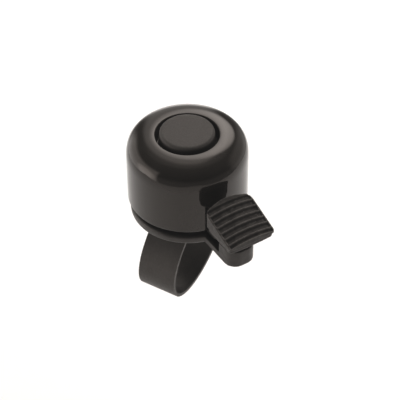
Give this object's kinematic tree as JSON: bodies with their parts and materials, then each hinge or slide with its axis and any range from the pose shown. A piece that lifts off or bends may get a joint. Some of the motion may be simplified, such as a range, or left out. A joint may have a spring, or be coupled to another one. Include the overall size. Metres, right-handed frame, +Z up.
{
  "type": "bicycle bell",
  "caption": "Compact handlebar bell: black dome on a centre post, flat cap, ridged thumb lever that swings an inner hammer, and a band that straps to the bar.",
  "frame": {"origin": "on the handlebar's axis, straight below the dome's axis", "axes": "+X along the handlebar, +Z up through the dome and its cap; the thumb lever points 26.6 degrees from +X towards -Y"},
  "size_m": [0.0549, 0.0435, 0.059],
  "materials": {
    "gloss_black": "smooth gloss enamel",
    "moulded_black": "fine moulded satin",
    "soft_black": "soft matte rubber",
    "cap_black": "fine grained matte",
    "band_black": "tough satin plastic",
    "zinc_steel": "bright zinc plate",
    "spring_steel": "drawn spring steel",
    "brass": "turned brass"
  },
  "bodies": {
    "root": {"base": "moulded_black", "dome": "gloss_black", "centre_post": "zinc_steel", "dome_seat_washer": "soft_black", "dome_top_washer": "zinc_steel", "dome_nut": "zinc_steel", "centre_cap": "cap_black", "post_screw": "zinc_steel", "saddle_liner": "soft_black", "strap": "band_black", "strap_anchor_pin": "zinc_steel", "clamp_washer": "zinc_steel", "clamp_nut": "zinc_steel", "lever_pin": "zinc_steel", "lever_pin_ring": "zinc_steel", "return_spring": "spring_steel"},
    "lever": {"lever": "moulded_black", "thumb_grip": "soft_black", "arm_rivet_left": "zinc_steel", "arm_rivet_right": "zinc_steel"},
    "hammer": {"hammer_arm": "spring_steel", "hammer_head": "brass", "hammer_rivet": "zinc_steel"},
    "clamp_screw": {"clamp_screw": "zinc_steel"}
  },
  "joints": [
    {"name": "lever_press", "type": "hinge", "parent": "root", "child": "lever", "pos_m": [0.01118, -0.0056, 0.0173], "axis": [0.4478, 0.8942, 0], "range_deg": [0, 12], "stiffness_Nm_per_rad": 0.15, "springref_deg": -14.32, "deforming": ["return_spring"]},
    {"name": "hammer_flex", "type": "hinge", "parent": "lever", "child": "hammer", "pos_m": [0.00881, -0.00441, 0.0189], "axis": [0.4478, 0.8942, 0], "range_deg": [-4, 1], "stiffness_Nm_per_rad": 0.05},
    {"name": "clamp_screw_turn", "type": "hinge", "parent": "root", "child": "clamp_screw", "pos_m": [-0.0014, 0.018, 0.0102], "axis": [0, 1, 0], "range_deg": [0, 720]}
  ]
}
